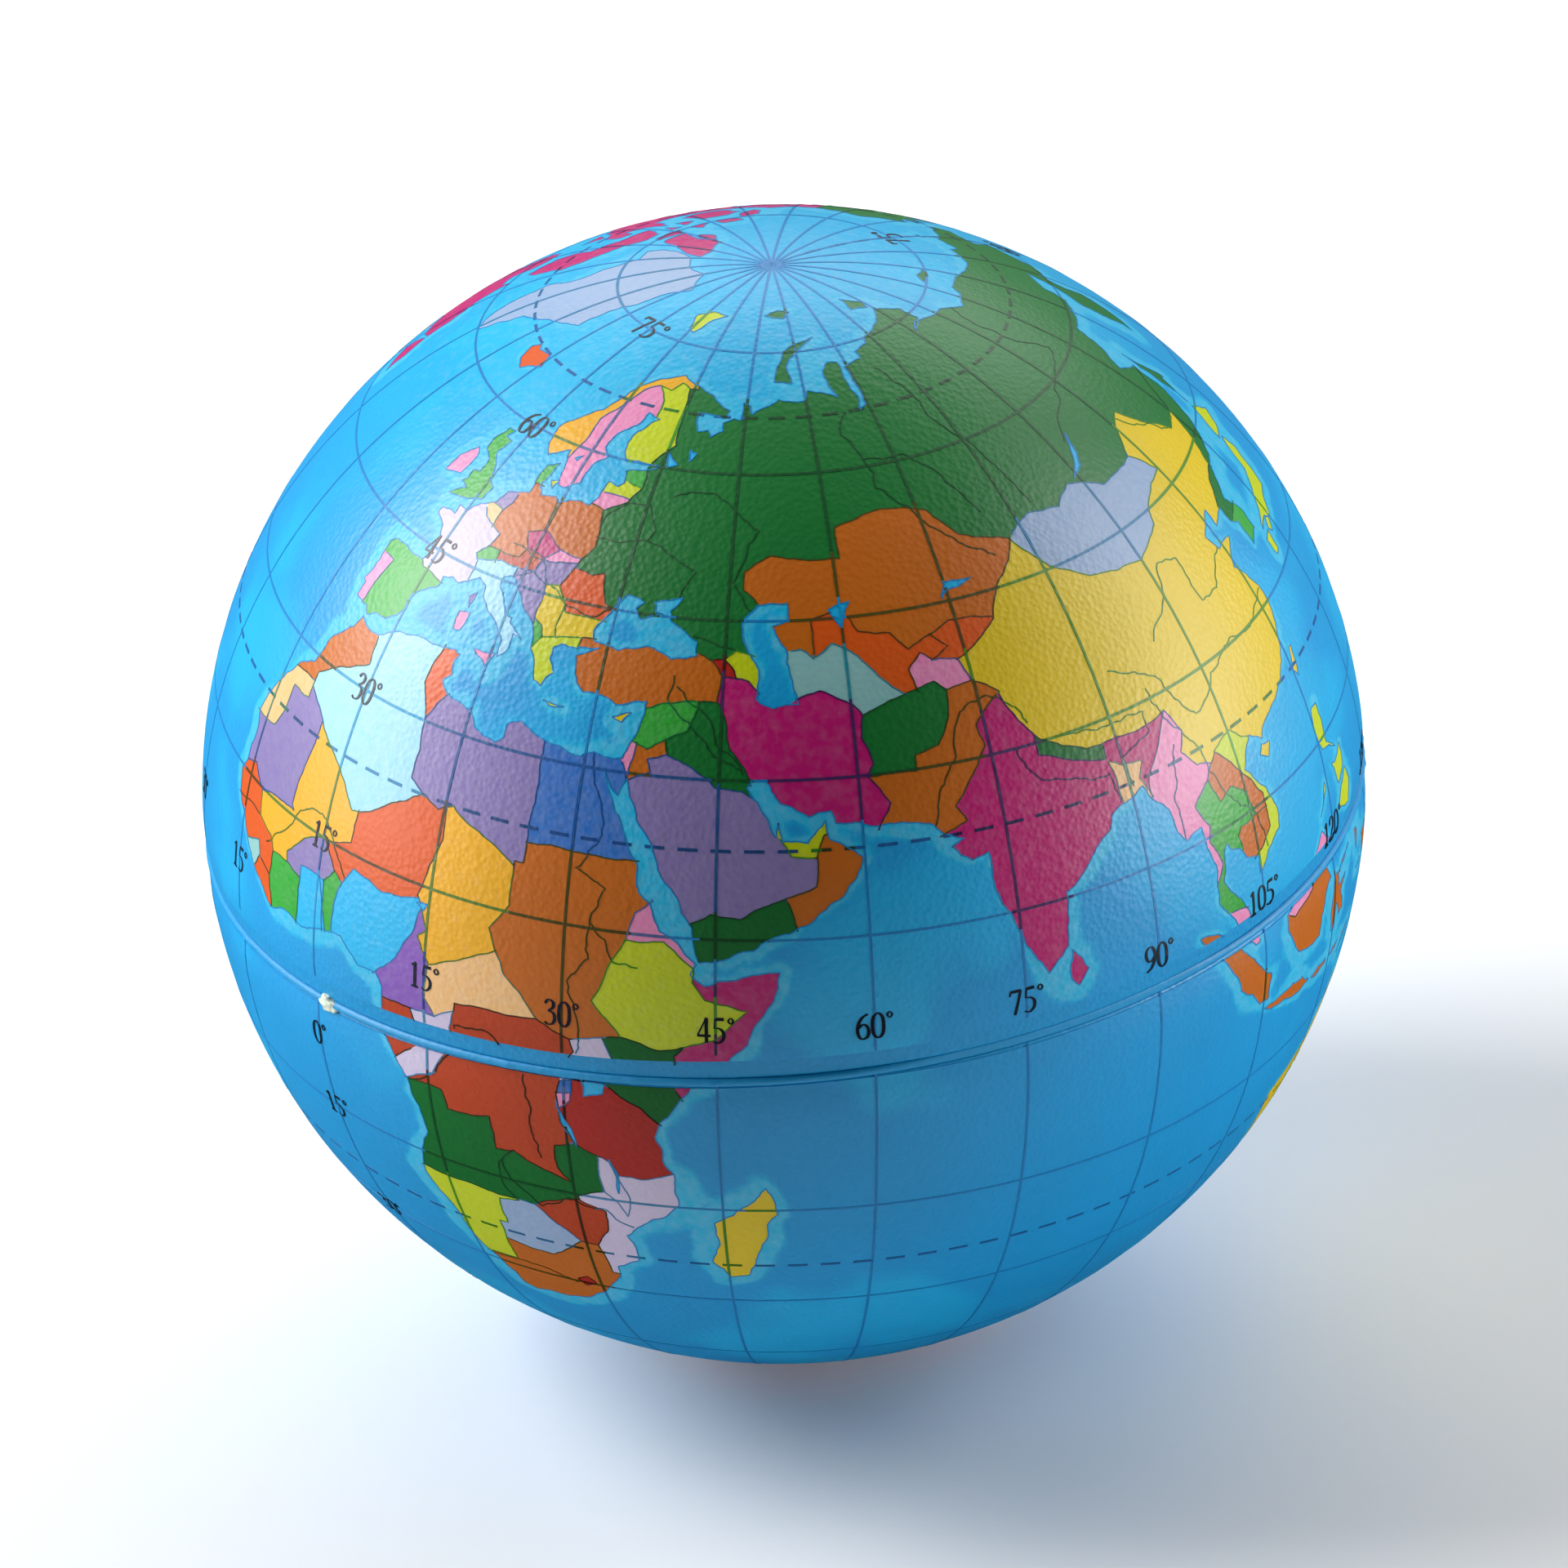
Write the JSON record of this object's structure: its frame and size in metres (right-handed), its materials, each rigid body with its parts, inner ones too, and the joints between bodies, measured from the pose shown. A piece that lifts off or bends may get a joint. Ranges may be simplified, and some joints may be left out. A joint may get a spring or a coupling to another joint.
{
  "type": "stress ball",
  "caption": "Squeezable moulded foam ball with a dense skin, a parting line bead and a printed world map.",
  "frame": {"origin": "centre of the ball", "axes": "+Z through the printed north pole, square to the parting line; -Y faces about 50 degrees east on the printed map"},
  "size_m": [0.0636, 0.0636, 0.063],
  "materials": {
    "open_foam": "soft open-cell polyurethane foam, matte",
    "foam_skin": "dense integral polyurethane skin, satin",
    "seam_skin": "unprinted polyurethane skin along the parting line, satin",
    "trimmed_foam": "cut foam face, matte",
    "map_print": "many-coloured political map print on a fine-grained satin skin"
  },
  "bodies": {
    "lower_half": {"foam_core": "open_foam", "south_skin": "foam_skin", "seam_bead": "seam_skin", "gate_plug": "trimmed_foam", "south_print": "map_print"},
    "upper_half": {"north_skin": "foam_skin", "north_print": "map_print"}
  },
  "joints": [
    {"name": "squeeze", "type": "slide", "parent": "lower_half", "child": "upper_half", "axis": [0, 0, -1], "range_m": [0, 0.02], "stiffness_N_per_m": 2000, "deforming": ["foam_core", "north_skin", "north_print"]}
  ]
}
